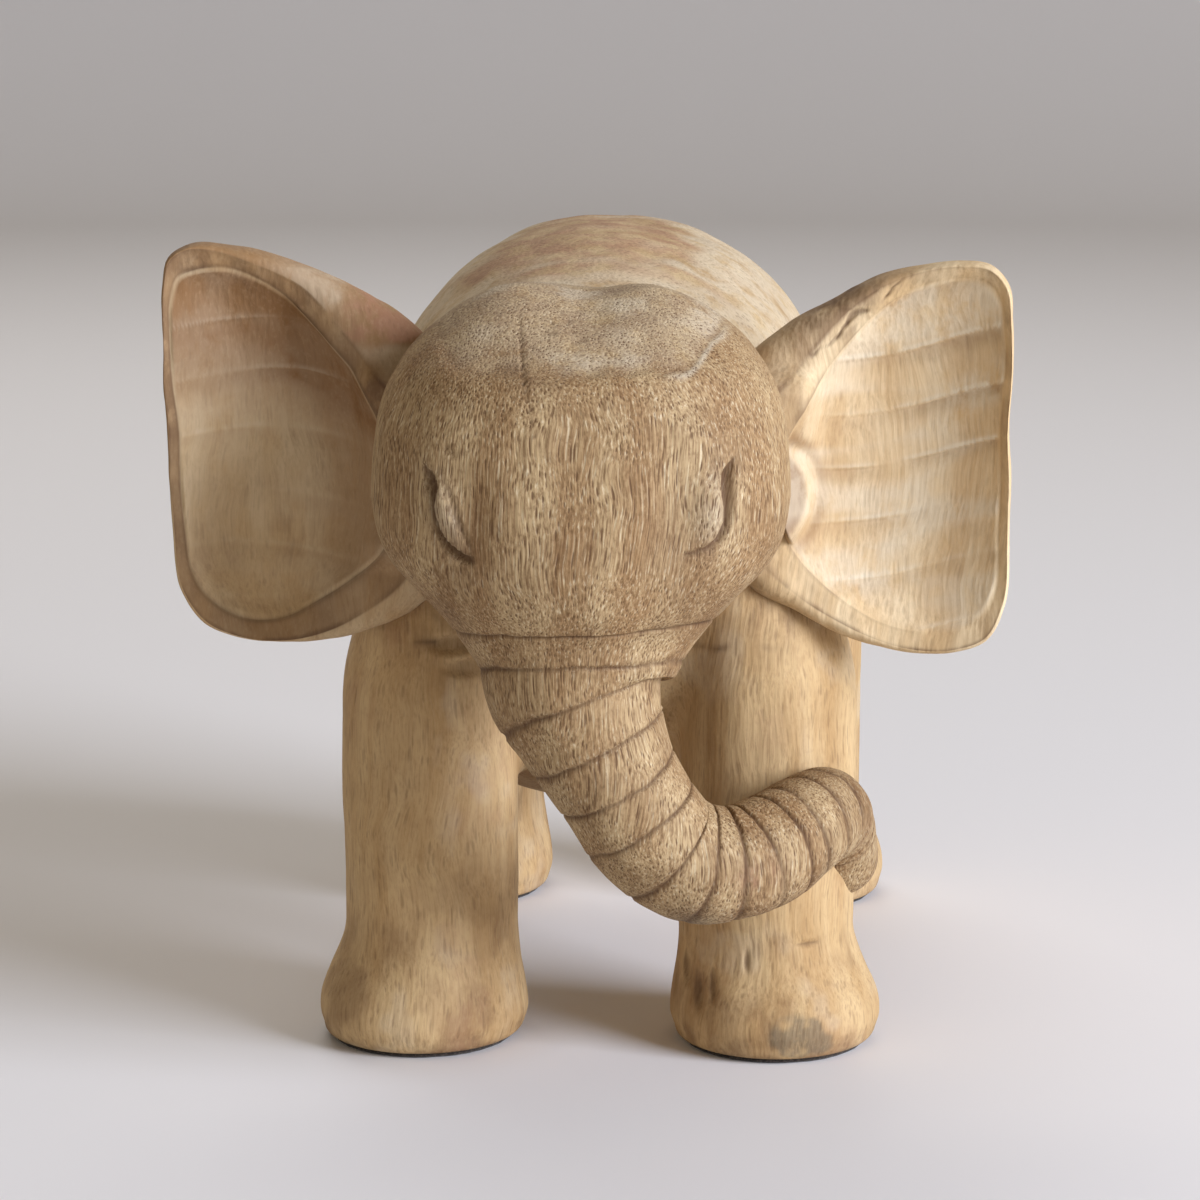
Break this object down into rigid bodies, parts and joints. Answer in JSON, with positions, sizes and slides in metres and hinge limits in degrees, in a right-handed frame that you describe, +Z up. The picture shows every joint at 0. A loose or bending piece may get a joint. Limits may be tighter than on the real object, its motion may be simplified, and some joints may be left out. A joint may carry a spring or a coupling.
{
  "type": "carved wooden elephant figurine",
  "caption": "Standing baby elephant carved from raw pale wood, with wide dished ears and a ringed trunk that curls round one front leg; ornament for a shelf or a table.",
  "frame": {"origin": "middle of the figure's box, on the surface that its feet stand on", "axes": "+Z up; the elephant faces -Y; its own left side, where the trunk curls, is +X"},
  "size_m": [0.2462, 0.3156, 0.244],
  "materials": {
    "head_wood": "raw, matt, open pored",
    "ear_wood": "raw, matt, gouge carved",
    "leg_wood": "raw, matt, knife carved",
    "body_wood": "raw, matt, sanded",
    "dowel_wood": "turned, glued",
    "felt": "pressed felt"
  },
  "bodies": {
    "root": {"torso": "body_wood", "head_and_trunk": "head_wood", "left_ear": "ear_wood", "right_ear": "ear_wood", "front_left_leg": "leg_wood", "front_right_leg": "leg_wood", "rear_left_leg": "leg_wood", "rear_right_leg": "leg_wood", "tail": "body_wood", "neck_dowels": "dowel_wood", "left_ear_dowels": "dowel_wood", "right_ear_dowels": "dowel_wood", "tail_dowel": "dowel_wood", "front_left_leg_dowels": "dowel_wood", "front_right_leg_dowels": "dowel_wood", "rear_left_leg_dowels": "dowel_wood", "rear_right_leg_dowels": "dowel_wood", "front_left_pad": "felt", "front_right_pad": "felt", "rear_left_pad": "felt", "rear_right_pad": "felt"}
  },
  "joints": []
}
